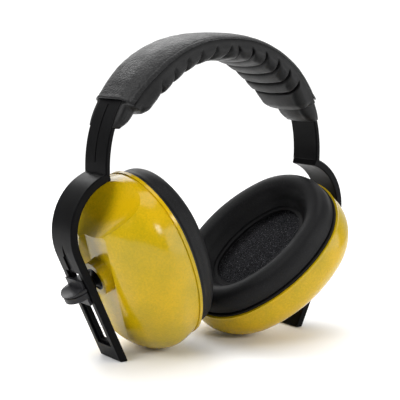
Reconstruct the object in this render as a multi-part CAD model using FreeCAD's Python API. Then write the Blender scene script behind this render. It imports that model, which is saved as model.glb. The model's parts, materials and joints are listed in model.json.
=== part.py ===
"""Earmuff hearing protector: a slotted headband with two ball-jointed ear cups.

Frame: millimetres, +X from the left ear to the right ear, +Y from the front to the back,
+Z up. The origin is on the surface the earmuff stands on, midway between the two feet.
"""
import FreeCAD, Part
import math
import os

os.makedirs("parts", exist_ok=True)

Vec = FreeCAD.Vector

# Headband: a flat strap bent to an arch, a shoulder, a bow and a straight slotted leg.
STEP_HEIGHT = 101.0          # where the strap meets the shoulder, above the floor
SPRING_HEIGHT = STEP_HEIGHT + 2.9   # where the arch is widest
ARCH_HALF_SPAN = 76.0
ARCH_RISE = 68.2
ARCH_FULLNESS = 2.12         # 2 is an ellipse, more is squarer
ARCH_STEPS = 24              # spans in each curve along the arch
STRAP_END = -2.4             # degrees from level at which the strap runs into the shoulder
STRAP_THICKNESS = 2.8
STRAP_WIDTH = 20.8
BOW_RADIUS = 31.7
BOW_THICKNESS = 4.4
BOW_START = 69.5             # degrees above level, at the shoulder
BOW_OVERLAP = 4.5            # degrees the bow runs on under the strap
LEG_TILT = 25.6              # degrees the leg leans in towards the head
LEG_WIDTH = 19.8
EDGE_ROUND = 0.7

# The slot in the leg, measured down the leg from the end of the bow.
RECESS_TOP, RECESS_BOTTOM, RECESS_WIDTH, RECESS_DEPTH = 8.0, 55.0, 12.6, 1.5
SLOT_TOP, SLOT_BOTTOM, SLOT_WIDTH = 10.0, 53.0, 8.6
INNER_RELIEF_WIDTH, INNER_RELIEF_DEPTH = 11.5, 0.9
INNER_RELIEF_MARGIN = 1.5    # how far the relief runs past each end of the slot
LEAD_IN_DEPTH = 0.9          # of the tapered groove down the bow into the slot
LEAD_IN_TOP, LEAD_IN_BOTTOM = STEP_HEIGHT - 36, STEP_HEIGHT - 52
LEAD_IN_HALF_WIDTH = 3.6     # at its lower end
LEAD_IN_RUN_HALF_WIDTH = 3.0   # of the straight part that opens into the recess
GROOVE_HALF_WIDTH, GROOVE_DEPTH = 0.5, 0.25   # down the middle of each strap

# Headband pad.
PAD_WIDTH = 39.6
COVER_THICKNESS = 1.3
STRAP_GAP = 0.05             # glue line between the strap and the pad
COVER_END = 29.6             # degrees from level at which the cover stops
PAD_END = 21.0
PAD_EDGE_INSET = 0.4         # the pad is this much narrower than its cover, on each side
PAD_SKIN = 0.9
PAD_END_WALL = 1.0           # degrees of the arch
PAD_END_HALF_WIDTH = 12.5    # the pad narrows to this towards its ends
PAD_TAPER_FOOT, PAD_TAPER_TOP = 124.5, 140.0   # heights between which it narrows
PAD_DEPTH = 13.5             # from the strap's outer face to the pad's inner face

# Ear cup: an oval of two end arcs and two side arcs, seen along the cup's own axis.
CUP_HALF_LENGTH = 52.7
CUP_HALF_WIDTH = 41.0
CUP_END_RADIUS = 38.0
SHELL_WALL = 2.5
LIP_HEIGHT = 1.8
SHELL_HEIGHT = 36.0
CORE_INSET = 30.0            # the flat middle of the dome starts here
SCOOP_RADIUS = 25.5
SCOOP_POINT = (15.2, 77.0, 17.8)   # on the scoop's axis
SCOOP_HEADING, SCOOP_FALL = 44.0, 37.0   # which way the axis runs, and how steeply down
CHANNEL_FLOOR, CHANNEL_MOUTH = 10.4, 16.0   # half widths at its floor and at the dome's top
CHANNEL_DEPTH = 3.6

# Ball joint. The ball's centre is this far along and above the cup's rim centre.
BALL_ALONG = 7.25
BALL_HEIGHT = 34.0
BALL_INSET = 14.4            # from the leg's outer face to the ball's centre
BALL_RADIUS = 6.0
NECK_RADIUS = 2.9
LINER_RADIUS = 7.6
RUNNING_GAP = 0.06
COLLAR_RADIUS = 9.6
COLLAR_FLARE = 1.6           # extra radius at the collar's foot
COLLAR_DEPTH = 3.4           # how far it reaches below the socket
DRAIN_RADIUS = 3.0           # opening in the bottom of the socket's lining
LIP_ANGLE = 58.0             # of the socket's mouth, from the ball joint's axis
STUD_DISC_RADIUS, STUD_DISC_THICKNESS = 6.2, 1.2
STUD_FLARE = 2.4             # length of the cone from the disc down to the neck
LEG_GAP = 0.3                # between the leg and what slides on it
STUD_GAP = 0.4               # between the leg's inner face and the stud's disc
SCREW_RADIUS, SCREW_HEAD_RADIUS, SCREW_HEAD_HEIGHT = 1.3, 2.3, 1.6
SCREW_SINK = 0.9             # how far the screw's head is sunk in the ball
SCREW_HEAD_GAP = 0.1
SCREW_SEAT_GAP = 0.05
SCREW_END = 4.2              # from the leg's outer face to the screw's tip, outwards
SCREW_CROSS = (1.5, 0.3, 0.8)   # half length, half width and depth of its cross slot

# Thumb slider.
TAB_RADIUS = 8.6
TAB_THICKNESS = 5.4
TAB_LOWER_RADIUS = 8.1
TAB_GROOVE = (0.4, 1.2)      # heights of the finger groove round the tab
TAB_GROOVE_DEPTH = 0.9
TAB_DISH_RADIUS, TAB_DISH_DEPTH = 20.0, 1.3
TAB_DISH_CENTRE = 4.4        # of the dish, out from the seat
SEAT_THICKNESS, SEAT_HALF_WIDTH, SEAT_MARGIN = 1.4, 7.4, 1.5
GUIDE_HALF_WIDTH = 4.0
GUIDE_HALF_HEIGHT = 6.0

# Ear cushion and what is behind it, heights towards the head from the cup's rim.
PLATE_THICKNESS = 1.5
PLATE_INSET = 1.2
PLATE_HOLE_INSET = 23.6
PLATE_RIB = (3.4, 4.9, 3.4)  # outer inset, inner inset and height of its locating rib
CUSHION_HEIGHT = 13.4
CUSHION_SKIN = 0.8
CUSHION_OUTER, CUSHION_INNER = 2.2, 21.4   # insets of the cushion's foot
CUSHION_SHOULDER = 7.5       # height at which the outside starts to curve
CUSHION_OUTER_BEND = (3.9, 12.1)
CUSHION_CREST = (8.6, 10.4)  # insets between which the face is flat
CUSHION_INNER_BEND = (14.4, 12.4)
CUSHION_INNER_EDGE = (17.2, 8.5)
FOAM_FACE = 4.0              # depth of the sound foam's face behind the rim
FOAM_STEP = 13.0
FOAM_BACK = 20.0
FOAM_INSET = 5.0
FOAM_BACK_INSET = 10.0
FOAM_SHELL_GAP = 0.5         # under the scoop

# How each cup sits: how far its slider is down the leg, then the ball joint's three turns.
CUP_POSES = {
    "left": {"side": -1, "slide": 19.6, "turn": -17.8, "tilt": 0.0, "swivel": -2.7},
    "right": {"side": 1, "slide": 35.0, "turn": 20.3, "tilt": 19.8, "swivel": 1.9},
}


# ---------------------------------------------------------------- helpers
def export(name, shape):
    shape.exportStep("parts/" + name + ".step")


def unit(degrees):
    return math.cos(math.radians(degrees)), math.sin(math.radians(degrees))


def polyline_face(points):
    return Part.Face(Part.makePolygon(points + points[:1]))


def box(low, high):
    size = [h - l for l, h in zip(low, high)]
    return Part.makeBox(size[0], size[1], size[2], Vec(*low))


def frame_at(origin, x_axis, y_axis, z_axis):
    """A placement that carries local axes onto the given ones."""
    return FreeCAD.Placement(FreeCAD.Matrix(
        x_axis.x, y_axis.x, z_axis.x, origin.x,
        x_axis.y, y_axis.y, z_axis.y, origin.y,
        x_axis.z, y_axis.z, z_axis.z, origin.z,
        0, 0, 0, 1))


def placed(shape, placement):
    moved = shape.copy()
    moved.Placement = placement.multiply(moved.Placement)
    return moved


# ---------------------------------------------------------------- headband
def arch_point(degrees, inset):
    """A point on the arch, moved in from the strap's outer face along its normal."""
    c, s = unit(degrees)
    x = ARCH_HALF_SPAN * math.copysign(abs(c) ** (2 / ARCH_FULLNESS), c)
    z = ARCH_RISE * math.copysign(abs(s) ** (2 / ARCH_FULLNESS), s)
    power = ARCH_FULLNESS - 1
    nx = math.copysign(abs(x / ARCH_HALF_SPAN) ** power, x) / ARCH_HALF_SPAN
    nz = math.copysign(abs(z / ARCH_RISE) ** power, z) / ARCH_RISE
    length = math.hypot(nx, nz)
    return Vec(x - inset * nx / length, 0, SPRING_HEIGHT + z - inset * nz / length)


def arch_band(start, end, outer, inner, half_width):
    """A strip of the arch between two angles, between two insets, as one solid."""
    angles = [start + (end - start) * i / ARCH_STEPS for i in range(ARCH_STEPS + 1)]
    curves = []
    for inset in (outer, inner):
        curve = Part.BSplineCurve()
        curve.interpolate([arch_point(a, inset) for a in angles])
        curves.append(curve.toShape())
    ends = [Part.makeLine(arch_point(a, outer), arch_point(a, inner)) for a in (start, end)]
    face = Part.Face(Part.Wire(Part.__sortEdges__(curves + ends)))
    face.translate(Vec(0, -half_width, 0))
    return face.extrude(Vec(0, 2 * half_width, 0))


def bow_centre():
    c, s = unit(BOW_START)
    return Vec(ARCH_HALF_SPAN - BOW_RADIUS * c, 0, STEP_HEIGHT - BOW_RADIUS * s)


def leg_frame(side, slide):
    """Leg axes: X out of its outer face, Z up it, origin on that face, slide down the leg."""
    c, s = unit(LEG_TILT)
    centre = bow_centre()
    out = Vec(side * c, 0, -s)
    up = Vec(side * s, 0, c)
    top = Vec(side * centre.x, 0, centre.z) + out * BOW_RADIUS
    return frame_at(top - up * slide, out, Vec(0, side, 0), up)


def bow_sector(inner, outer, start, end, half_width):
    """Part of a ring about the right bow's axis, between two angles in degrees."""
    centre = bow_centre()
    arcs = []
    corners = []
    for radius in (inner, outer):
        points = []
        for degrees in (start, (start + end) / 2, end):
            c, s = unit(degrees)
            points.append(centre + Vec(radius * c, -half_width, radius * s))
        arcs.append(Part.Arc(*points).toShape())
        corners.append(points)
    ends = [Part.makeLine(corners[0][i], corners[1][i]) for i in (0, 2)]
    face = Part.Face(Part.Wire(Part.__sortEdges__(arcs + ends)))
    return face.extrude(Vec(0, 2 * half_width, 0))


def rounded(shape, half_width):
    """The same strip with its long edges rounded."""
    edges = []
    for edge in shape.Edges:
        at_side = all(abs(abs(v.Point.y) - half_width) < 0.01 for v in edge.Vertexes)
        if len(edge.Vertexes) == 2 and at_side and edge.Length > 3 * BOW_THICKNESS:
            edges.append(edge)
    return shape.makeFillet(EDGE_ROUND, edges)


def right_side_of_band():
    """The right bow and leg, before the slot is cut."""
    half = LEG_WIDTH / 2
    inner = BOW_RADIUS - BOW_THICKNESS
    bow = bow_sector(inner, BOW_RADIUS, -LEG_TILT, BOW_START + BOW_OVERLAP, half)
    c, s = unit(LEG_TILT)
    centre = bow_centre()
    outer_top = centre + Vec(BOW_RADIUS * c, -half, -BOW_RADIUS * s)
    inner_top = centre + Vec(inner * c, -half, -inner * s)
    down = Vec(-s, 0, -c)
    outer_foot = outer_top + down * (outer_top.z / c)
    inner_foot = inner_top + down * (inner_top.z / c)
    leg = polyline_face([outer_top, outer_foot, inner_foot, inner_top])
    side = bow.fuse(leg.extrude(Vec(0, 2 * half, 0))).removeSplitter()
    return rounded(side, half)


def leg_cuts():
    """What is cut from the right leg: its stepped slot and the groove that leads into it."""
    cuts = []
    sizes = [
        (-RECESS_DEPTH, 1, RECESS_WIDTH, RECESS_TOP, RECESS_BOTTOM),
        (-BOW_THICKNESS - 1, 1, SLOT_WIDTH, SLOT_TOP, SLOT_BOTTOM),
        (-BOW_THICKNESS - 1, -BOW_THICKNESS + INNER_RELIEF_DEPTH, INNER_RELIEF_WIDTH,
         SLOT_TOP - INNER_RELIEF_MARGIN, SLOT_BOTTOM + INNER_RELIEF_MARGIN),
    ]
    for low, high, width, top, bottom in sizes:
        cutter = box((low, -width / 2, -bottom), (high, width / 2, -top))
        cuts.append(placed(cutter, leg_frame(1, 0)))
    half = LEAD_IN_HALF_WIDTH
    wedge = polyline_face([Vec(0, 0, LEAD_IN_TOP), Vec(0, -half, LEAD_IN_BOTTOM),
                           Vec(0, half, LEAD_IN_BOTTOM)])
    band = bow_sector(BOW_RADIUS - LEAD_IN_DEPTH, BOW_RADIUS + 1, -LEG_TILT, BOW_START,
                      LEG_WIDTH / 2)
    cuts.append(band.common(wedge.extrude(Vec(2 * ARCH_HALF_SPAN, 0, 0))))
    half = LEAD_IN_RUN_HALF_WIDTH
    run_in = box((-LEAD_IN_DEPTH, -half, -RECESS_TOP - 1), (1, half, 0.5))
    cuts.append(placed(run_in, leg_frame(1, 0)))
    return cuts


def headband():
    half = STRAP_WIDTH / 2
    strap = rounded(arch_band(STRAP_END, 180 - STRAP_END, 0, STRAP_THICKNESS, half), half)
    side = right_side_of_band()
    for cut in leg_cuts():
        side = side.cut(cut)
    left = side.mirror(Vec(0, 0, 0), Vec(1, 0, 0))
    band = strap.fuse([side, left]).removeSplitter()
    groove = arch_band(2, COVER_END - 2, -1, GROOVE_DEPTH, GROOVE_HALF_WIDTH)
    return band.cut(groove).cut(groove.mirror(Vec(0, 0, 0), Vec(1, 0, 0)))


def pad_cover():
    return arch_band(COVER_END, 180 - COVER_END, -COVER_THICKNESS, -STRAP_GAP, PAD_WIDTH / 2)


def narrowed(shape, inset):
    """The shape with both sides trimmed towards the pad's ends, moved in by inset."""
    foot, top = PAD_TAPER_FOOT, PAD_TAPER_TOP
    narrow = PAD_END_HALF_WIDTH - inset
    wide = PAD_WIDTH / 2 + 1 - inset
    for side in (-1, 1):
        corner = [Vec(-2 * ARCH_HALF_SPAN, side * narrow, foot - 10),
                  Vec(-2 * ARCH_HALF_SPAN, side * narrow, foot),
                  Vec(-2 * ARCH_HALF_SPAN, side * wide, top),
                  Vec(-2 * ARCH_HALF_SPAN, side * PAD_WIDTH, top),
                  Vec(-2 * ARCH_HALF_SPAN, side * PAD_WIDTH, foot - 10)]
        shape = shape.cut(polyline_face(corner).extrude(Vec(4 * ARCH_HALF_SPAN, 0, 0)))
    return shape


def pad_pieces():
    """The pad's ribbed skin, open towards the strap, and the foam in it."""
    half = PAD_WIDTH / 2 - PAD_EDGE_INSET
    under = STRAP_THICKNESS + STRAP_GAP
    low, high = PAD_END + PAD_END_WALL, 180 - PAD_END - PAD_END_WALL
    inner = PAD_DEPTH - PAD_SKIN
    outside = narrowed(arch_band(PAD_END, 180 - PAD_END, 0, PAD_DEPTH, half), 0)
    hollow = narrowed(arch_band(low, high, -1, inner, half - PAD_SKIN), PAD_SKIN)
    skin = outside.cut(hollow)
    skin = skin.cut(arch_band(0, 180, -1, under, STRAP_WIDTH / 2 + STRAP_GAP))
    foam = narrowed(arch_band(low, high, under, inner, half - PAD_SKIN), PAD_SKIN)
    return skin, foam


# ---------------------------------------------------------------- oval pieces of a cup
def side_radius():
    """Radius of the oval's long sides, which makes them meet its end arcs smoothly."""
    a, b, r = CUP_HALF_LENGTH, CUP_HALF_WIDTH, CUP_END_RADIUS
    return (a * a + b * b - 2 * a * r) / (2 * (b - r))


def joint_angle():
    """Angle from the X axis at which side arcs and end arcs meet, in degrees."""
    rise = CUP_HALF_LENGTH - CUP_END_RADIUS
    return math.degrees(math.asin(rise / (side_radius() - CUP_END_RADIUS)))


def oval_arcs(inset):
    """The oval's four arcs: centre, radius, first angle and sweep, anticlockwise."""
    turn = joint_angle()
    end, side = CUP_END_RADIUS - inset, side_radius() - inset
    rise = CUP_HALF_LENGTH - CUP_END_RADIUS
    reach = side_radius() - CUP_HALF_WIDTH
    return [(Vec(-reach, 0, 0), side, -turn, 2 * turn),
            (Vec(0, rise, 0), end, turn, 180 - 2 * turn),
            (Vec(reach, 0, 0), side, 180 - turn, 2 * turn),
            (Vec(0, -rise, 0), end, 180 + turn, 180 - 2 * turn)]


def oval_prism(inset, low, high):
    """A flat-ended block with the oval's outline, moved in by inset."""
    edges = []
    for centre, radius, first, sweep in oval_arcs(inset):
        points = []
        for degrees in (first, first + sweep / 2, first + sweep):
            c, s = unit(degrees)
            points.append(centre + Vec(radius * c, radius * s, low))
        edges.append(Part.Arc(*points).toShape())
    return Part.Face(Part.Wire(edges)).extrude(Vec(0, 0, high - low))


def oval_ring(profile):
    """A section carried round the oval. profile(radius) gives its face for that radius."""
    ring = None
    for centre, radius, first, sweep in oval_arcs(0):
        section = profile(radius)
        section.rotate(Vec(0, 0, 0), Vec(0, 0, 1), first)
        section.translate(centre)
        sector = section.revolve(centre, Vec(0, 0, 1), sweep)
        ring = sector if ring is None else ring.fuse(sector)
    return ring.removeSplitter()


def dome_section(offset):
    """The shell's outer section from its rim to the dome's middle, moved in by offset."""
    outline = [(0.6, LIP_HEIGHT), (-0.7, 8.5), (-0.6, 14.0), (1.3, 19.5), (5.6, 25.5),
               (11.8, 30.7), (19.4, 34.3), (CORE_INSET, SHELL_HEIGHT)]

    def face(radius):
        curve = Part.BSplineCurve()
        curve.interpolate([Vec(radius - i - offset, 0, z) for i, z in outline])
        points = [Vec(radius - CORE_INSET - offset, 0, SHELL_HEIGHT),
                  Vec(radius - CORE_INSET - offset, 0, 0)]
        if offset:
            points += [Vec(radius - outline[0][0] - offset, 0, 0),
                       Vec(radius - outline[0][0] - offset, 0, LIP_HEIGHT)]
        else:
            points += [Vec(radius, 0, 0), Vec(radius, 0, LIP_HEIGHT),
                       Vec(radius - outline[0][0], 0, LIP_HEIGHT)]
        rest = Part.makePolygon(points)
        return Part.Face(Part.Wire(Part.__sortEdges__([curve.toShape()] + rest.Edges)))
    return face


def dome(offset):
    """A filled dome. With an offset it is the hollow inside a wall of that thickness."""
    ring = oval_ring(dome_section(offset))
    if offset:
        ring.translate(Vec(0, 0, -offset))
    core = oval_prism(CORE_INSET + offset - 0.01, -offset, SHELL_HEIGHT - offset)
    return ring.fuse(core)


def scoop(grow):
    """The scoop across the dome's shoulder, under the bow."""
    c, s = unit(SCOOP_HEADING)
    level, down = unit(SCOOP_FALL)
    along = Vec(c * level, s * level, -down)
    reach = 2 * CUP_HALF_LENGTH
    start = Vec(*SCOOP_POINT) - along * reach
    return Part.makeCylinder(SCOOP_RADIUS + grow, 2 * reach, start, along)


def channel(grow):
    """The shallow, sloping-sided channel down the dome that the arm's collar stands in."""
    reach = 2 * CUP_HALF_LENGTH
    slope = (CHANNEL_MOUTH - CHANNEL_FLOOR) / CHANNEL_DEPTH
    low, high = SHELL_HEIGHT - CHANNEL_DEPTH - grow, SHELL_HEIGHT + CHANNEL_DEPTH
    floor = CHANNEL_FLOOR + grow
    mouth = floor + slope * (high - low)
    section = polyline_face([Vec(-floor, -reach, low), Vec(floor, -reach, low),
                             Vec(mouth, -reach, high), Vec(-mouth, -reach, high)])
    return section.extrude(Vec(0, 2 * reach, 0))


def cup_shell():
    outer = dome(0).cut(scoop(0)).cut(channel(0))
    inner = dome(SHELL_WALL).cut(scoop(SHELL_WALL)).cut(channel(SHELL_WALL))
    ball = Vec(0, BALL_ALONG, BALL_HEIGHT)
    mouth = BALL_HEIGHT + (LINER_RADIUS + RUNNING_GAP) * unit(LIP_ANGLE)[0]
    foot = BALL_HEIGHT - LINER_RADIUS - COLLAR_DEPTH
    collar = Part.makeCone(COLLAR_RADIUS + COLLAR_FLARE, COLLAR_RADIUS, mouth - foot,
                           Vec(0, BALL_ALONG, foot))
    shell = outer.cut(inner).fuse(collar)
    return shell.cut(Part.makeSphere(LINER_RADIUS + RUNNING_GAP, ball))


def socket_liner():
    """A thin snap-in lining of the socket, open towards the stud and at its bottom."""
    ball = Vec(0, BALL_ALONG, BALL_HEIGHT)
    body = Part.makeSphere(LINER_RADIUS, ball)
    body = body.cut(Part.makeSphere(BALL_RADIUS + RUNNING_GAP, ball))
    top = Part.makeCone(0, 20, 20 / math.tan(math.radians(LIP_ANGLE)), ball)
    drain = Part.makeCylinder(DRAIN_RADIUS, 20, ball, Vec(0, 0, -1))
    return body.cut(top).cut(drain)


def cushion_outline(radius, move, base):
    """Section of the ear cushion, moved in by move, from base to its crest."""
    slant = 0.7 * move

    def point(inset, height):
        return Vec(radius - inset, 0, -height)
    outer = point(CUSHION_OUTER + move, base)
    shoulder = point(CUSHION_OUTER + move, CUSHION_SHOULDER)
    outer_bend = point(CUSHION_OUTER_BEND[0] + slant, CUSHION_OUTER_BEND[1] - slant)
    crest_start = point(CUSHION_CREST[0], CUSHION_HEIGHT - move)
    crest_end = point(CUSHION_CREST[1], CUSHION_HEIGHT - move)
    inner_bend = point(CUSHION_INNER_BEND[0] - slant, CUSHION_INNER_BEND[1] - slant)
    inner_edge = point(CUSHION_INNER_EDGE[0] - move, CUSHION_INNER_EDGE[1] - move / 3)
    inner = point(CUSHION_INNER - move, base)
    edges = [Part.makeLine(outer, shoulder),
             Part.Arc(shoulder, outer_bend, crest_start).toShape(),
             Part.makeLine(crest_start, crest_end),
             Part.Arc(crest_end, inner_bend, inner_edge).toShape(),
             Part.makeLine(inner_edge, inner),
             Part.makeLine(inner, outer)]
    return Part.Face(Part.Wire(edges))


def cushion_pieces():
    base = PLATE_THICKNESS
    skin = oval_ring(lambda r: cushion_outline(r, 0, base))
    hollow = oval_ring(lambda r: cushion_outline(r, CUSHION_SKIN, base - CUSHION_SKIN))
    foam = hollow.common(oval_prism(0, -CUSHION_HEIGHT, -base))
    return skin.cut(hollow), foam


def cushion_plate():
    """The plate that clips into the rim and carries the cushion."""
    outer, inner, height = PLATE_RIB
    plate = oval_prism(PLATE_INSET, -PLATE_THICKNESS, 0)
    plate = plate.cut(oval_prism(PLATE_HOLE_INSET, -2 * PLATE_THICKNESS, PLATE_THICKNESS))
    rib = oval_prism(outer, 0, height).cut(oval_prism(inner, -height, 2 * height))
    return plate.fuse(rib)


def sound_foam():
    front = oval_prism(FOAM_INSET, FOAM_FACE, FOAM_STEP)
    back = oval_prism(FOAM_BACK_INSET, FOAM_STEP, FOAM_BACK)
    return front.fuse(back).cut(scoop(SHELL_WALL + FOAM_SHELL_GAP))


# ---------------------------------------------------------------- slider and ball stud
def half_disc(radius, low, high, foot):
    """A round plate standing out of the seat, from low to high up the leg."""
    disc = Part.makeCylinder(radius, high - low, Vec(foot, 0, low))
    return disc.common(box((LEG_GAP, -radius, low), (foot + radius, radius, high)))


def slider_grip():
    """Thumb tab and the block that runs in the slot, as one moulding."""
    half = TAB_THICKNESS / 2
    foot = LEG_GAP + SEAT_THICKNESS
    low, high = TAB_GROOVE
    tab = half_disc(TAB_LOWER_RADIUS, -half, low, foot).fuse([
        half_disc(TAB_LOWER_RADIUS - TAB_GROOVE_DEPTH, low, high, foot),
        half_disc(TAB_RADIUS, high, half, foot)])
    dish_centre = Vec(foot + TAB_DISH_CENTRE, 0, half - TAB_DISH_DEPTH + TAB_DISH_RADIUS)
    tab = tab.cut(Part.makeSphere(TAB_DISH_RADIUS, dish_centre))
    seat_half = GUIDE_HALF_HEIGHT + SEAT_MARGIN
    seat = box((LEG_GAP, -SEAT_HALF_WIDTH, -seat_half), (foot, SEAT_HALF_WIDTH, seat_half))
    back = -BOW_THICKNESS - LEG_GAP
    guide = box((back, -GUIDE_HALF_WIDTH, -GUIDE_HALF_HEIGHT),
                (foot, GUIDE_HALF_WIDTH, GUIDE_HALF_HEIGHT))
    pilot = Part.makeCylinder(SCREW_RADIUS, SCREW_END - back, Vec(back, 0, 0), Vec(1, 0, 0))
    return tab.fuse([seat, guide]).cut(pilot).removeSplitter()


def screw_seat():
    """Where the screw's head bears in the ball, along the leg frame's X."""
    return -BALL_INSET - BALL_RADIUS + SCREW_HEAD_HEIGHT + SCREW_SINK


def ball_stud():
    """Disc, neck and ball, bored for the screw that holds it and lets it turn."""
    face = -BOW_THICKNESS - STUD_GAP
    centre = -BALL_INSET
    inward = Vec(-1, 0, 0)
    disc = Part.makeCylinder(STUD_DISC_RADIUS, STUD_DISC_THICKNESS, Vec(face, 0, 0), inward)
    neck = Part.makeCylinder(NECK_RADIUS, face - centre, Vec(face, 0, 0), inward)
    ball = Part.makeSphere(BALL_RADIUS, Vec(centre, 0, 0))
    flare = Part.makeCone(STUD_DISC_RADIUS, NECK_RADIUS, STUD_FLARE,
                          Vec(face - STUD_DISC_THICKNESS, 0, 0), inward)
    bore = Part.makeCylinder(SCREW_RADIUS + RUNNING_GAP, 2 * BALL_INSET, Vec(), inward)
    seat = Part.makeCylinder(SCREW_HEAD_RADIUS + SCREW_HEAD_GAP, BALL_INSET,
                             Vec(screw_seat(), 0, 0), inward)
    return disc.fuse([flare, neck, ball]).cut(bore).cut(seat)


def stud_screw():
    top = screw_seat() - SCREW_SEAT_GAP
    shank = Part.makeCylinder(SCREW_RADIUS, SCREW_END - top, Vec(top, 0, 0), Vec(1, 0, 0))
    head = Part.makeCylinder(SCREW_HEAD_RADIUS, SCREW_HEAD_HEIGHT, Vec(top, 0, 0),
                             Vec(-1, 0, 0))
    screw = shank.fuse(head)
    face = top - SCREW_HEAD_HEIGHT
    long, short, depth = SCREW_CROSS
    for half_y, half_z in ((long, short), (short, long)):
        screw = screw.cut(box((face - depth, -half_y, -half_z), (face + depth, half_y, half_z)))
    return screw


def cup_frame(pose):
    """Cup axes: Z away from the head, Y along the cup, origin at its rim's centre."""
    leg = leg_frame(pose["side"], pose["slide"])
    to_cup = frame_at(Vec(-BALL_INSET, 0, 0), Vec(0, 1, 0), Vec(0, 0, 1), Vec(1, 0, 0))
    turn = FreeCAD.Rotation(Vec(0, 0, 1), pose["turn"])
    tilt = FreeCAD.Rotation(Vec(1, 0, 0), pose["tilt"])
    swivel = FreeCAD.Rotation(Vec(0, 1, 0), pose["swivel"])
    angles = turn.multiply(tilt).multiply(swivel)
    ball = FreeCAD.Placement(Vec(0, 0, 0), angles)
    back = FreeCAD.Placement(Vec(0, -BALL_ALONG, -BALL_HEIGHT), FreeCAD.Rotation())
    return leg.multiply(to_cup).multiply(ball).multiply(back)


def build():
    skin, foam = pad_pieces()
    export("headband", headband())
    export("pad_cover", pad_cover())
    export("pad_skin", skin)
    export("pad_foam", foam)
    cushion_skin, cushion_foam = cushion_pieces()
    cup_parts = {"cup_shell": cup_shell(), "socket_liner": socket_liner(),
                 "sound_foam": sound_foam(), "cushion_plate": cushion_plate(),
                 "cushion_skin": cushion_skin, "cushion_foam": cushion_foam}
    slider_parts = {"slider_grip": slider_grip(), "ball_stud": ball_stud(),
                    "stud_screw": stud_screw()}
    for name, pose in CUP_POSES.items():
        for part, shape in slider_parts.items():
            export(name + "_" + part, placed(shape, leg_frame(pose["side"], pose["slide"])))
        for part, shape in cup_parts.items():
            export(name + "_" + part, placed(shape, cup_frame(pose)))


build()
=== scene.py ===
"""Earmuff hearing protector: the looks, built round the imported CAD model.

Everything is in metres in the CAD model's own frame: +X from the left ear to the right ear,
+Y from the front to the back, +Z up, with the floor at z = 0.
"""

import json
import math

import bmesh
import bpy
from mathutils import Matrix, Vector, noise


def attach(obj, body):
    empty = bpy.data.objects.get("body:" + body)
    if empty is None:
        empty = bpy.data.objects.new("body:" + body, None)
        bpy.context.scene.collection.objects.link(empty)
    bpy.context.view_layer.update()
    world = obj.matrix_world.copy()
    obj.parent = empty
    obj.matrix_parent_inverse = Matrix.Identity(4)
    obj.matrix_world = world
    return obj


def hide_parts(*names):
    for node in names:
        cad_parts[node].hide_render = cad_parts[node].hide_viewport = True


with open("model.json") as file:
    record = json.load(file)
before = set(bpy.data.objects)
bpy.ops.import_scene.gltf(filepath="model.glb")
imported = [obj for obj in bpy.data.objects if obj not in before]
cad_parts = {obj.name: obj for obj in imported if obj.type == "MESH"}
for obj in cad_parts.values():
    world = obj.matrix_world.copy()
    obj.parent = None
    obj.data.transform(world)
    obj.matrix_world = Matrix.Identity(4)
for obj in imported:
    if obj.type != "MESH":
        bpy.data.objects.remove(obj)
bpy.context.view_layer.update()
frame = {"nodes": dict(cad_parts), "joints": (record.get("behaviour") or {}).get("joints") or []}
MM = 0.001

# The headband's arch, as the CAD source has it.
STEP_HEIGHT = 101.0
SPRING_HEIGHT = STEP_HEIGHT + 2.9
ARCH_HALF_SPAN, ARCH_RISE, ARCH_FULLNESS = 76.0, 68.2, 2.12
STRAP_THICKNESS, STRAP_WIDTH = 2.8, 20.8

# The headband pad.
PAD_SEAM = 0.15              # the pad's side stands this far out from the cover's edge
PAD_END_HALF_WIDTH = 13.2
PAD_DEPTH, PAD_END_DEPTH = 10.3, 13.9   # of the pad at its middle and near its ends
PAD_TAB_DEPTH = 11.6
PAD_END = 17.0               # where the pad ends on the arch, in degrees
DRAPE_MIDDLE, DRAPE_END = 1.0, 4.2   # how far the cover falls at its long edges
DRAPE_FROM = 0.42 * STRAP_WIDTH      # the cover begins to fall this far from its middle
COVER_END = 29.6             # where the cover ends on the arch, in degrees
COVER_THICKNESS = 1.3
COVER_HALF_WIDTH, COVER_END_HALF_WIDTH = 19.8, 17.6
COVER_CROWN = 1.6
WELD_INSET, WELD_DEPTH, WELD_WIDTH = 2.0, 0.3, 0.4
PLEATS = [4.7, 13.7, 22.8, 31.8, 40.9, 49.9, 64.5]   # of each crease from the apex
PLEAT_HEIGHT = 2.7
CREASE_DEPTH, CREASE_WIDTH = 2.4, 0.55
PAD_CORNER = 5.6             # radius between the pad's side and its inner face
PAD_BULGE = 0.7              # how far its sides stand out

# The ear cups' oval and what is measured from it.
CUP_HALF_LENGTH, CUP_HALF_WIDTH, CUP_END_RADIUS = 52.7, 41.0, 38.0
BALL_ALONG, BALL_HEIGHT = 7.25, 34.0
CUSHION_HEIGHT, CUSHION_BASE = 13.4, 1.6
FOAM_FACE, FOAM_BACK, FOAM_INSET = 4.0, 9.5, 6.5
SEAM_INSET, SEAM_HEIGHT, SEAM_RADIUS = 20.9, -2.1, 0.42
OVAL_STEPS = 180             # points round the cup's oval
PUFF_LIMIT = 0.9             # how far the simulation may move a point of a cushion
SWIVEL = {"left": -2.7, "right": 1.9}   # of each cup at rest, in degrees

# The studio, in metres and watts: each lamp's name, place, size and power.
LAMPS = [("key", (-1.05, 0.0, 0.8), 0.7, 11), ("top", (0.1, 0.2, 1.5), 1.6, 18),
         ("back", (0.3, 0.9, 0.9), 0.8, 6), ("fill", (0.75, -0.9, 0.2), 0.9, 7),
         ("front", (0.15, -1.2, 0.7), 0.3, 4)]
LAMP_TARGET = (0, 0, 0.09)
FLOOR_HALF_SIZE = 0.62
SWEEP_DIRECTION = (0.6, 0.79, 0.1)      # the side of the room that is brightest
SWEEP_FROM, SWEEP_TO = 0.2, 0.93        # how far it spreads, as a cosine
ROOM_STRENGTH, SWEEP_STRENGTH = 0.2, 1.15

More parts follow.
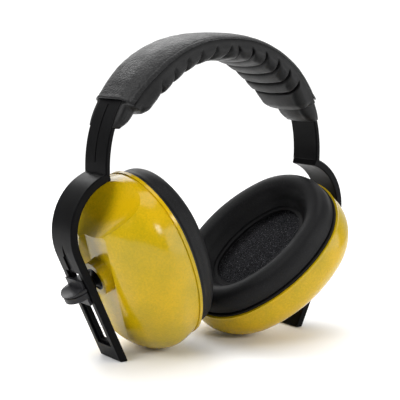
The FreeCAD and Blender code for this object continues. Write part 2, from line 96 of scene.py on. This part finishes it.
CAMERA_PLACE = (-0.37146, -0.46916, 0.16622)
CAMERA_RIGHT, CAMERA_UP = (0.79066, -0.61204, 0.01625), (0.07355, 0.12129, 0.98989)
CAMERA_LENS, CAMERA_SENSOR = 96.04, 36.0


# ---------------------------------------------------------------- materials
class Paint:
    """A procedural material and short names for the nodes it is built from."""

    def __init__(self, name, color, roughness, **sockets):
        self.material = bpy.data.materials.new(name)
        self.material.use_nodes = True
        self.tree = self.material.node_tree
        self.shader = self.tree.nodes["Principled BSDF"]
        self.shader.inputs["Base Color"].default_value = (*color, 1)
        self.shader.inputs["Roughness"].default_value = roughness
        for socket, value in sockets.items():
            self.shader.inputs[socket.replace("_", " ")].default_value = value
        self.place = self.tree.nodes.new("ShaderNodeTexCoord").outputs["Object"]

    def link(self, out, into):
        self.tree.links.new(out, into)

    def noise(self, scale, detail=3.0, rough=0.5, stretch=(1, 1, 1)):
        node = self.tree.nodes.new("ShaderNodeTexNoise")
        node.inputs["Scale"].default_value = scale
        node.inputs["Detail"].default_value = detail
        node.inputs["Roughness"].default_value = rough
        self.link(self.stretched(stretch), node.inputs["Vector"])
        return node.outputs["Fac"]

    def cells(self, scale, feature="F1"):
        node = self.tree.nodes.new("ShaderNodeTexVoronoi")
        node.feature = feature
        node.inputs["Scale"].default_value = scale
        self.link(self.place, node.inputs["Vector"])
        return node.outputs["Distance"]

    def stretched(self, stretch):
        if tuple(stretch) == (1, 1, 1):
            return self.place
        node = self.tree.nodes.new("ShaderNodeMapping")
        node.inputs["Scale"].default_value = stretch
        self.link(self.place, node.inputs["Vector"])
        return node.outputs["Vector"]

    def ramp(self, value, *stops):
        """A colour ramp; each stop is a place from 0 to 1 and a grey or a colour."""
        node = self.tree.nodes.new("ShaderNodeValToRGB")
        while len(node.color_ramp.elements) < len(stops):
            node.color_ramp.elements.new(0.5)
        for element, (at, colour) in zip(node.color_ramp.elements, stops):
            element.position = at
            element.color = (*colour, 1) if hasattr(colour, "__len__") else (colour,) * 3 + (1,)
        self.link(value, node.inputs["Fac"])
        return node.outputs["Color"]

    def math(self, operation, a, b):
        node = self.tree.nodes.new("ShaderNodeMath")
        node.operation = operation
        for socket, value in zip(node.inputs, (a, b)):
            if isinstance(value, (int, float)):
                socket.default_value = value
            else:
                self.link(value, socket)
        return node.outputs["Value"]

    def bump(self, *layers):
        """Each layer is a height and its depth in metres; later layers lie on earlier ones."""
        normal = None
        for height, depth in layers:
            node = self.tree.nodes.new("ShaderNodeBump")
            node.inputs["Strength"].default_value = 1.0
            node.inputs["Distance"].default_value = depth
            self.link(height, node.inputs["Height"])
            if normal is not None:
                self.link(normal, node.inputs["Normal"])
            normal = node.outputs["Normal"]
        self.link(normal, self.shader.inputs["Normal"])

    def color(self, out):
        self.link(out, self.shader.inputs["Base Color"])

    def roughness(self, out):
        self.link(out, self.shader.inputs["Roughness"])


def black_plastic(name, grey, low, high, shine=0.2):
    """Satin black moulding: fine mould grain, faint handling marks, a little dust."""
    paint = Paint(name, (grey, grey, grey * 1.1), (low + high) / 2, Specular_IOR_Level=shine)
    blotch = paint.noise(60, 4, 0.6)
    paint.color(paint.ramp(blotch, (0.3, (grey * 0.75, grey * 0.75, grey * 0.82)),
                           (0.7, (grey * 1.25, grey * 1.25, grey * 1.4))))
    paint.roughness(paint.ramp(paint.noise(210, 5, 0.65), (0.3, low), (0.75, high)))
    paint.bump((paint.noise(2600, 2, 0.5), 0.00002), (paint.noise(90, 2, 0.4), 0.00005))
    return paint.material


def vinyl(name, grey, low, high, grain, depth, shine=0.25):
    """Leatherette: pebbles with creases between them; its grey varies with the creases and is
    painted darker in the grooves between the pebbles as painted shade, lighter on their tops.
    """
    paint = Paint(name, (grey, grey, grey), (low + high) / 2, Specular_IOR_Level=shine)
    pebbles = paint.cells(grain, "SMOOTH_F1")
    creases = paint.noise(grain * 0.45, 6, 0.7)
    mixed = paint.math("MULTIPLY_ADD", creases, 0.8)
    paint.link(pebbles, mixed.node.inputs[2])
    # painted shade: darker in the grooves between the pebbles, lighter on the pebble tops
    paint.color(paint.ramp(mixed, (0.25, (grey * 1.45, grey * 1.45, grey * 1.5)),
                           (0.85, (grey * 0.5, grey * 0.5, grey * 0.54))))
    paint.roughness(paint.ramp(paint.noise(120, 4, 0.6), (0.3, low), (0.7, high)))
    paint.bump((creases, depth), (pebbles, -depth))
    return paint.material


def yellow_shell():
    """Glossy yellow moulding with the faint mottling of its pigment."""
    paint = Paint("shell_gloss_yellow", (0.47, 0.31, 0.002), 0.14, Specular_IOR_Level=0.3)
    cloudy = paint.noise(30, 3, 0.5)
    speckle = paint.noise(900, 3, 0.6)
    mixed = paint.math("MULTIPLY_ADD", speckle, 0.6)
    paint.link(cloudy, mixed.node.inputs[2])
    paint.color(paint.ramp(mixed, (0.52, (0.31, 0.24, 0.003)), (0.80, (0.44, 0.30, 0.002)),
                           (1.0, (0.56, 0.35, 0.003))))
    paint.roughness(paint.ramp(paint.noise(160, 4, 0.6), (0.3, 0.13), (0.75, 0.22)))
    paint.bump((paint.noise(900, 2, 0.5), 0.000006), (paint.noise(70, 2, 0.4), 0.00004))
    return paint.material


def open_cell_foam():
    """Charcoal open-cell foam: painted shade in the cell pores and scattered painted glints on
    the cell walls.
    """
    paint = Paint("foam_open_cell", (0.02, 0.02, 0.023), 0.95, Specular_IOR_Level=0.1,
                  Sheen_Weight=0.1)
    cells = paint.cells(900, "DISTANCE_TO_EDGE")
    specks = paint.noise(1500, 2, 0.6)
    lumps = paint.noise(190, 4, 0.65)
    # painted shade: the cell pores are coloured darker than their edges
    painted_pore_shade = paint.ramp(cells, (0.02, (0.035, 0.035, 0.04)), (0.22, (0.006, 0.006, 0.007)))
    # painted highlight: scattered bright glints added to the foam's colour
    painted_glints = paint.ramp(specks, (0.60, (0.0, 0.0, 0.0)), (0.74, (0.34, 0.34, 0.36)))
    add = paint.tree.nodes.new("ShaderNodeMixRGB")
    add.blend_type = "ADD"
    add.inputs["Fac"].default_value = 0.7
    paint.link(painted_pore_shade, add.inputs["Color1"])
    paint.link(painted_glints, add.inputs["Color2"])
    paint.color(add.outputs["Color"])
    paint.bump((lumps, 0.0009), (cells, 0.0005))
    return paint.material


def zinc_steel():
    paint = Paint("screw_zinc", (0.56, 0.56, 0.57), 0.35, Metallic=1.0)
    paint.roughness(paint.ramp(paint.noise(1400, 4, 0.6, (1, 1, 6)), (0.3, 0.22), (0.7, 0.45)))
    paint.bump((paint.noise(2200, 3, 0.6), 0.00001))
    return paint.material


def hidden_foam():
    paint = Paint("foam_pale", (0.16, 0.16, 0.16), 0.95)
    paint.bump((paint.cells(900), 0.0003))
    return paint.material


def white_floor():
    paint = Paint("floor_white", (0.96, 0.96, 0.96), 0.7)
    paint.roughness(paint.ramp(paint.noise(4, 3, 0.5), (0.3, 0.62), (0.7, 0.75)))
    return paint.material


BAND = black_plastic("band_black", 0.003, 0.28, 0.40, 0.05)
SLIDER = black_plastic("slider_black", 0.012, 0.34, 0.46)
ACETAL = black_plastic("joint_black", 0.004, 0.28, 0.38, 0.06)
PLATE = black_plastic("plate_black", 0.005, 0.40, 0.52)
PAD_TOP = vinyl("pad_top_leatherette", 0.013, 0.46, 0.60, 850, 0.0003, 0.3)
# painted shade: the pleated underside's grey is set darker than the top sheet's for the pad's
# shaded underside
PAD_RIBS = vinyl("pad_pleat_vinyl", 0.007, 0.42, 0.56, 2100, 0.00006, 0.25)
CUSHION = vinyl("cushion_vinyl", 0.014, 0.46, 0.56, 2400, 0.000025, 0.12)
SHELL = yellow_shell()
FOAM = open_cell_foam()
STEEL = zinc_steel()
PALE_FOAM = hidden_foam()


# ---------------------------------------------------------------- shapes
def arch_point(degrees, inset, across=0.0):
    """A point on the headband's arch, moved in from the strap's outer face, in metres."""
    c, s = math.cos(math.radians(degrees)), math.sin(math.radians(degrees))
    x = ARCH_HALF_SPAN * math.copysign(abs(c) ** (2 / ARCH_FULLNESS), c)
    z = ARCH_RISE * math.copysign(abs(s) ** (2 / ARCH_FULLNESS), s)
    power = ARCH_FULLNESS - 1
    nx = math.copysign(abs(x / ARCH_HALF_SPAN) ** power, x) / ARCH_HALF_SPAN
    nz = math.copysign(abs(z / ARCH_RISE) ** power, z) / ARCH_RISE
    length = math.hypot(nx, nz)
    return Vector((x - inset * nx / length, across, SPRING_HEIGHT + z - inset * nz / length)) * MM


def arch_angles(inset, step, start, end):
    """Angles along the arch that are step millimetres apart at that inset."""
    fine = [start + (end - start) * i / 2000 for i in range(2001)]
    lengths = [0.0]
    for a, b in zip(fine, fine[1:]):
        gap = (arch_point(b, inset) - arch_point(a, inset)).length / MM
        lengths.append(lengths[-1] + gap)
    count = max(2, round(lengths[-1] / step))
    angles, at = [], 0
    for i in range(count + 1):
        wanted = lengths[-1] * i / count
        while at < 1999 and lengths[at + 1] < wanted:
            at += 1
        share = (wanted - lengths[at]) / max(1e-9, lengths[at + 1] - lengths[at])
        angles.append(fine[at] + (fine[at + 1] - fine[at]) * share)
    return angles, lengths[-1] / count


def grid_mesh(name, rows, closed_rows, closed_ends=False, loop=False):
    """A mesh from rows of points. closed_rows joins each row's last point to its first."""
    verts = [p for row in rows for p in row]
    width = len(rows[0])
    faces = []
    count = len(rows) if loop else len(rows) - 1
    for i in range(count):
        j = (i + 1) % len(rows)
        for k in range(width if closed_rows else width - 1):
            m = (k + 1) % width
            faces.append((i * width + k, i * width + m, j * width + m, j * width + k))
    if closed_ends:
        faces.append(tuple(range(width))[::-1])
        faces.append(tuple((len(rows) - 1) * width + k for k in range(width)))
    mesh = bpy.data.meshes.new(name)
    mesh.from_pydata(verts, [], faces)
    mesh.update()
    work = bmesh.new()
    work.from_mesh(mesh)
    bmesh.ops.remove_doubles(work, verts=work.verts, dist=1e-7)
    bmesh.ops.recalc_face_normals(work, faces=work.faces)
    work.to_mesh(mesh)
    work.free()
    for face in mesh.polygons:
        face.use_smooth = True
    piece = bpy.data.objects.new(name, mesh)
    bpy.context.scene.collection.objects.link(piece)
    return piece


def dress(piece, material, body, slot, *nodes):
    """Gives a new piece its material and its body, and hides the CAD nodes it stands for; the
    slot argument is not used.
    """
    piece.data.materials.clear()
    piece.data.materials.append(material)
    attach(piece, body)
    if nodes:
        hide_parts(*nodes)
    return piece


def smooth_step(value, low, high):
    t = min(1.0, max(0.0, (value - low) / (high - low)))
    return t * t * (3 - 2 * t)


# ---------------------------------------------------------------- headband pad
def edge_fall(degrees):
    """How far the cover's long edges lie below the strap's outer face."""
    return DRAPE_MIDDLE + (DRAPE_END - DRAPE_MIDDLE) * smooth_step(abs(degrees - 90), 6, 48)


def drape(y, half, degrees):
    """How far the cover falls from the strap's outer face at y across the band."""
    over = max(0.0, abs(y) - DRAPE_FROM) / (half - DRAPE_FROM)
    return edge_fall(degrees) * over ** 1.5


def cover_half_width(degrees):
    """Half the cover's width, which is less towards its ends."""
    narrow = smooth_step(abs(degrees - 90), 38, 90 - COVER_END)
    return COVER_HALF_WIDTH - (COVER_HALF_WIDTH - COVER_END_HALF_WIDTH) * narrow


def pad_top():
    """The leatherette top sheet, draped over the strap, with welded edges and lifted ends."""
    angles, step = arch_angles(0, 1.0, COVER_END, 180 - COVER_END)
    shares = [-1, -0.987, -0.97, -0.94, -0.915, -0.9, -0.885, -0.86]
    shares = shares + [-0.78 + 1.56 * k / 18 for k in range(19)] + [-v for v in reversed(shares)]
    rows = []
    for i, degrees in enumerate(angles):
        from_end = min(i, len(angles) - 1 - i) * step
        half = cover_half_width(degrees)
        crown = COVER_CROWN * (0.25 + 0.75 * smooth_step(from_end, 0, 30))
        lift = 0.5 * (1 - smooth_step(from_end, 0, 4))
        row = []
        under = []
        for share in shares:
            y = half * share
            from_edge = half - abs(y)
            height = COVER_THICKNESS + crown * (1 - share * share) - drape(y, half, degrees)
            height -= 1.0 * (1 - smooth_step(from_edge, 0, 1.5))
            weld = math.exp(-((from_edge - WELD_INSET) / WELD_WIDTH) ** 2)
            end_weld = math.exp(-((from_end - 1.1 * WELD_INSET) / (1.25 * WELD_WIDTH)) ** 2)
            height -= WELD_DEPTH * max(weld, end_weld if from_edge > WELD_INSET else 0)
            waver = noise.noise(Vector((degrees * 0.35, y * 0.11, 3.1)))
            row.append(arch_point(degrees, -height - lift - 0.14 * waver, y))
            under.append(arch_point(degrees, drape(y, half, degrees) - lift * 0.9 - 0.08, y))
        rows.append(row + list(reversed(under[2:-2])))
    piece = grid_mesh("pad_top_sheet", rows, True, closed_ends=True)
    return dress(piece, PAD_TOP, "band", "pad_vinyl", "pad_cover")


def pleat_height(along, share):
    """How far the pleated skin stands out at a distance from the apex, in millimetres.
    share is 0 on the middle of the pad's inner face and 1 where the creases have faded."""
    at = abs(along) + 4.4 * share * share - 1.0
    edges = [-PLEATS[0]] + PLEATS[:-1]
    if at >= PLEATS[-1]:
        return 0.0
    low = max(edge for edge in edges if edge <= at or edge == edges[0])
    high = min([edge for edge in PLEATS if edge > at])
    span = high - low
    near = min(1.0, (at - low) / (0.5 * span))
    far = min(1.0, (high - at) / min(3.2, 0.34 * span))
    rise = math.sqrt(max(0.0, 1 - (1 - near) ** 2.4))
    height = PLEAT_HEIGHT * rise * math.sqrt(1 - (1 - far) ** 2)
    for edge in PLEATS[:-1]:
        height -= CREASE_DEPTH * math.exp(-((at - edge - 0.3) / CREASE_WIDTH) ** 2)
    return height


def pad_half_width(degrees, along, reach):
    """The pad's half width: as wide as its cover, then a narrower tab with round corners."""
    if along < PLEATS[-1]:
        return cover_half_width(degrees) + PAD_SEAM
    tab = smooth_step(along, PLEATS[-1] - 1.5, PLEATS[-1] + 1.0)
    wide = COVER_END_HALF_WIDTH + PAD_SEAM + (PAD_END_HALF_WIDTH - COVER_END_HALF_WIDTH) * tab
    into = (along - PLEATS[-1]) / (reach - PLEATS[-1])
    return wide * (0.84 + 0.16 * math.sqrt(max(0.0, 1 - into ** 3)))


def pad_depth(along, reach):
    """Depth of the pad's inner face below the strap's outer face."""
    depth = PAD_DEPTH + (PAD_END_DEPTH - PAD_DEPTH) * smooth_step(along, 12, 50)
    depth -= 1.6 * smooth_step(along, PLEATS[-1] - 6.5, PLEATS[-1] - 0.6) ** 2
    tab = smooth_step(along, PLEATS[-1] - 0.6, PLEATS[-1] + 0.5)
    depth += (PAD_TAB_DEPTH - PAD_END_DEPTH + 1.6) * tab
    into = max(0.0, (along - PLEATS[-1]) / (reach - PLEATS[-1]))
    thin = STRAP_THICKNESS + 0.9
    return thin + (depth - thin) * math.sqrt(max(0.0, 1 - min(1.0, into) ** 2.3))


def pad_body():
    """The pleated underside: puffed rolls across the pad with creases that fade on its sides."""
    angles, step = arch_angles(PAD_END_DEPTH, 0.42, PAD_END, 180 - PAD_END)
    reach = step * (len(angles) - 1) / 2
    under = STRAP_THICKNESS + 0.1
    strap_side = STRAP_WIDTH / 2 + 0.4
    rows = []
    for i, degrees in enumerate(angles):
        along = reach - i * step
        from_end = reach - abs(along)
        half = pad_half_width(degrees, abs(along), reach)
        deep = pad_depth(abs(along), reach) - 1.2
        edge = min(edge_fall(degrees) + 0.1, deep - 0.6) if abs(along) < PLEATS[-1] else 1.6
        corner = min(PAD_CORNER, deep - edge - 0.1)
        section = [(half, edge, 1.0), (half, edge + 0.5 * (deep - edge - corner), 1.0)]
        for k in range(17):
            turn = math.radians(90 * k / 16)
            section.append((half - corner + corner * math.cos(turn),
                            deep - corner + corner * math.sin(turn), 1 - 0.68 * k / 16))
        flat = half - corner
        for k in range(1, 15):
            y = flat * (1 - k / 14)
            section.append((y, deep + 0.9 * (1 - (y / flat) ** 2), 0.32 * y / flat))
        section += [(-y, depth, share) for y, depth, share in reversed(section[:-1])]
        row = []
        for y, depth, share in section:
            fade = 1 - smooth_step(share, 0.8, 1.0)
            out = pleat_height(along, share) * fade * smooth_step(from_end, 0, 5)
            lean = min(1.0, abs(y) / half)
            grown = depth + out * (1 - 0.5 * lean ** 6)
            wide = y * (1 + 0.03 * out * lean ** 4)
            bulge = PAD_BULGE * lean ** 6 * smooth_step(depth, edge, edge + 2.5)
            wide += math.copysign(bulge, y)
            grown += 0.35 * math.exp(-((from_end - 0.6) / 0.45) ** 2)
            row.append(arch_point(degrees, grown, wide))
        slope = edge - 0.5
        row += [arch_point(degrees, edge - 0.25, -half + 0.5),
                arch_point(degrees, max(0.2, 0.4 * slope), -(strap_side + half) / 2),
                arch_point(degrees, 0.15, -strap_side - 0.1),
                arch_point(degrees, under, -strap_side), arch_point(degrees, under, strap_side),
                arch_point(degrees, 0.15, strap_side + 0.1),
                arch_point(degrees, max(0.2, 0.4 * slope), (strap_side + half) / 2),
                arch_point(degrees, edge - 0.25, half - 0.5)]
        rows.append(row)
    piece = grid_mesh("pad_pleated_body", rows, True, closed_ends=True)
    return dress(piece, PAD_RIBS, "band", "pad_rib_vinyl", "pad_skin", "pad_foam")


# ---------------------------------------------------------------- ear cups
def joint(name):
    return next(j for j in frame["joints"] if j["name"] == name)


def cup_matrix(side):
    """The cup's own axes in the model: Z away from the head, Y along the cup, rim at z = 0."""
    y_axis = Vector(joint(side + "_swivel")["axis"]).normalized()
    tilt_axis = -Vector(joint(side + "_tilt")["axis"]).normalized()
    x_axis = Matrix.Rotation(math.radians(SWIVEL[side]), 3, y_axis) @ tilt_axis
    z_axis = x_axis.cross(y_axis)
    ball = Vector(joint(side + "_swivel")["pos_m"])
    rim = ball - y_axis * BALL_ALONG * MM - z_axis * BALL_HEIGHT * MM
    made = Matrix((x_axis, y_axis, z_axis)).transposed().to_4x4()
    made.translation = rim
    return made


def oval(inset, steps):
    """Points round the cup's oval, moved in by inset, in millimetres."""
    a, b, r = CUP_HALF_LENGTH, CUP_HALF_WIDTH, CUP_END_RADIUS
    side = (a * a + b * b - 2 * a * r) / (2 * (b - r))
    rise, reach = a - r, side - b
    turn = math.degrees(math.asin(rise / (side - r)))
    arcs = [((-reach, 0), side, -turn, 2 * turn), ((0, rise), r, turn, 180 - 2 * turn),
            ((reach, 0), side, 180 - turn, 2 * turn), ((0, -rise), r, 180 + turn, 180 - 2 * turn)]
    lengths = [radius * math.radians(sweep) for _, radius, _, sweep in arcs]
    points = []
    for i in range(steps):
        at = sum(lengths) * i / steps
        for (centre, radius, first, sweep), length in zip(arcs, lengths):
            if at <= length:
                angle = math.radians(first + sweep * at / length)
                points.append((centre[0] + (radius - inset) * math.cos(angle),
                               centre[1] + (radius - inset) * math.sin(angle)))
                break
            at -= length
    return points


def oval_piece(name, section):
    """A closed section of (inset, z) points carried round the oval, in the cup's own axes."""
    rings = [oval(inset, OVAL_STEPS) for inset, _ in section]
    rows = []
    for i in range(OVAL_STEPS):
        rows.append([Vector((ring[i][0], ring[i][1], z)) * MM
                     for ring, (_, z) in zip(rings, section)])
    return grid_mesh(name, rows, True, loop=True)


def curve_through(points, steps):
    """A smooth closed curve through the points, as steps points between each two."""
    made = []
    count = len(points)
    for i in range(count):
        p0, p1, p2, p3 = (Vector(points[(i + k - 1) % count]) for k in range(4))
        for j in range(steps):
            t = j / steps
            made.append(tuple(0.5 * ((2 * p1) + (p2 - p0) * t
                                     + (2 * p0 - 5 * p1 + 4 * p2 - p3) * t * t
                                     + (3 * p1 - p0 - 3 * p2 + p3) * t ** 3)))
    return made


def cushion_mesh():
    """One ear cushion before it is puffed out: a soft oval ring."""
    top = -CUSHION_HEIGHT
    knots = [(2.9, -CUSHION_BASE), (2.4, -5.0), (3.1, -9.0), (5.7, -12.3), (9.6, top + 0.15),
             (13.7, -12.3), (16.8, -8.8), (18.9, -5.0), (20.9, -CUSHION_BASE),
             (12.0, -CUSHION_BASE)]
    return oval_piece("cushion_form", curve_through(knots, 4))


def inflate(piece, cap):
    """Cloth under light pressure, with each point kept within cap metres of where it began."""
    scene = bpy.context.scene
    begun = [v.co.copy() for v in piece.data.vertices]
    pins = piece.vertex_groups.new(name="held")
    for i, point in enumerate(begun):
        if point.z > -(CUSHION_BASE + 0.35) * MM:
            pins.add([i], 1.0, "REPLACE")
    cloth = piece.modifiers.new("puff", "CLOTH")
    cloth.settings.effector_weights.gravity = 0
    cloth.settings.use_pressure = True
    cloth.settings.uniform_pressure_force = 4
    cloth.settings.quality = 5
    cloth.settings.tension_stiffness = 15
    cloth.settings.compression_stiffness = 15
    cloth.settings.bending_stiffness = 0.6
    cloth.settings.vertex_group_mass = "held"
    for number in range(1, 21):
        scene.frame_set(number)
    seen = piece.evaluated_get(bpy.context.evaluated_depsgraph_get())
    moved = [v.co.copy() for v in seen.data.vertices]
    piece.modifiers.remove(cloth)
    scene.frame_set(1)
    for vertex, start, end in zip(piece.data.vertices, begun, moved):
        shift = end - start
        if shift.length > cap:
            shift *= cap / shift.length
        vertex.co = start + shift
    return piece


def copy_at(source, name, matrix):
    """A copy of a piece with the matrix worked into its mesh."""
    mesh = source.data.copy()
    mesh.transform(matrix)
    made = bpy.data.objects.new(name, mesh)
    bpy.context.scene.collection.objects.link(made)
    return made


def foam_mesh():
    """The sound foam: a slightly domed, lumpy open-cell pad behind the ear opening."""
    section = [(k / 40, FOAM_FACE, 1.0) for k in range(40)]
    section += [(0.988, FOAM_FACE + 0.4, 0.6), (1.0, FOAM_FACE + 1.6, 0.2), (1.0, FOAM_BACK, 0.0)]
    section += [(k / 6, FOAM_BACK, 0.0) for k in range(5, -1, -1)]
    rows = []
    for rim_x, rim_y in oval(FOAM_INSET, OVAL_STEPS):
        row = []
        for share, z, lively in section:
            x, y = rim_x * share, rim_y * share
            lump = noise.fractal(Vector((x * 0.33, y * 0.33, 1.7)), 0.8, 2.1, 4)
            swell = 0.9 * max(0.0, 1 - (x / 34) ** 2 - (y / 46) ** 2)
            row.append(Vector((x, y, z - lively * (0.28 * lump + swell))) * MM)
        rows.append(row)
    return grid_mesh("foam_form", rows, False, loop=True)


def remove(piece):
    mesh = piece.data
    bpy.data.objects.remove(piece)
    bpy.data.meshes.remove(mesh)


def cups():
    form = cushion_mesh()
    inflate(form, PUFF_LIMIT * MM)
    foam = foam_mesh()
    turns = [k * math.tau / 8 for k in range(8)]
    seam = oval_piece("seam_form", [(SEAM_INSET + SEAM_RADIUS * math.cos(t),
                                     SEAM_HEIGHT + SEAM_RADIUS * math.sin(t)) for t in turns])
    for side in ("left", "right"):
        at = cup_matrix(side)
        cushion = copy_at(form, side + "_ear_cushion", at)
        smooth = cushion.modifiers.new("finer", "SUBSURF")
        smooth.levels = smooth.render_levels = 1
        dress(cushion, CUSHION, side + "_cup", "cushion_vinyl",
              side + "_cushion_skin", side + "_cushion_foam")
        pad = copy_at(foam, side + "_ear_foam", at)
        dress(pad, FOAM, side + "_cup", "sound_foam", side + "_sound_foam")
        dress(copy_at(seam, side + "_cushion_seam", at), CUSHION, side + "_cup", "cushion_vinyl")
    for piece in (form, foam, seam):
        remove(piece)


# ---------------------------------------------------------------- CAD nodes' finishes
def finish_cad_nodes():
    finishes = {"headband": BAND, "slider_grip": SLIDER, "ball_stud": ACETAL,
                "socket_liner": ACETAL, "stud_screw": STEEL, "cup_shell": SHELL,
                "cushion_plate": PLATE, "pad_foam": PALE_FOAM, "cushion_foam": PALE_FOAM,
                "pad_cover": PAD_TOP, "pad_skin": PAD_RIBS, "cushion_skin": CUSHION,
                "sound_foam": FOAM}
    for name, node in frame["nodes"].items():
        part = name.replace("left_", "").replace("right_", "")
        node.data.materials.clear()
        node.data.materials.append(finishes[part])


# ---------------------------------------------------------------- stage, light, camera
def stage():
    mesh = bpy.data.meshes.new("floor")
    size = FLOOR_HALF_SIZE
    mesh.from_pydata([(-size, -size, 0), (size, -size, 0), (size, size, 0), (-size, size, 0)],
                     [], [(0, 1, 2, 3)])
    floor = bpy.data.objects.new("floor", mesh)
    floor.location.z = -0.0003
    bpy.context.scene.collection.objects.link(floor)
    mesh.materials.append(white_floor())


def area_light(name, location, size, power):
    """A square soft lamp that points at the object."""
    data = bpy.data.lights.new(name, "AREA")
    data.energy = power
    data.size = size
    lamp = bpy.data.objects.new(name, data)
    lamp.location = location
    direction = Vector(LAMP_TARGET) - Vector(location)
    lamp.rotation_euler = direction.to_track_quat("-Z", "Y").to_euler()
    bpy.context.scene.collection.objects.link(lamp)


def light():
    """A white sweep behind the object, a darker room in front of it and soft lamps."""
    world = bpy.data.worlds.new("studio")
    bpy.context.scene.world = world
    world.use_nodes = True
    tree = world.node_tree
    tree.nodes["Background"].inputs["Color"].default_value = (1, 1, 1, 1)
    place = tree.nodes.new("ShaderNodeTexCoord")
    toward = tree.nodes.new("ShaderNodeVectorMath")
    toward.operation = "DOT_PRODUCT"
    toward.inputs[1].default_value = SWEEP_DIRECTION
    tree.links.new(place.outputs["Generated"], toward.inputs[0])
    ramp = tree.nodes.new("ShaderNodeMapRange")
    ramp.inputs["From Min"].default_value = SWEEP_FROM
    ramp.inputs["From Max"].default_value = SWEEP_TO
    ramp.inputs["To Min"].default_value = ROOM_STRENGTH
    ramp.inputs["To Max"].default_value = SWEEP_STRENGTH
    tree.links.new(toward.outputs["Value"], ramp.inputs["Value"])
    tree.links.new(ramp.outputs["Result"], tree.nodes["Background"].inputs["Strength"])
    for lamp in LAMPS:
        area_light(*lamp)


def camera():
    right, up = Vector(CAMERA_RIGHT), Vector(CAMERA_UP)
    back = right.cross(up)
    data = bpy.data.cameras.new("camera")
    data.lens = CAMERA_LENS
    data.sensor_width = CAMERA_SENSOR
    data.clip_start, data.clip_end = 0.01, 20
    made = bpy.data.objects.new("camera", data)
    matrix = Matrix((right, up, back)).transposed().to_4x4()
    matrix.translation = Vector(CAMERA_PLACE)
    made.matrix_world = matrix
    bpy.context.scene.collection.objects.link(made)
    bpy.context.scene.camera = made


finish_cad_nodes()
pad_top()
pad_body()
cups()
stage()
light()
camera()
bpy.context.scene.view_settings.view_transform = "Standard"
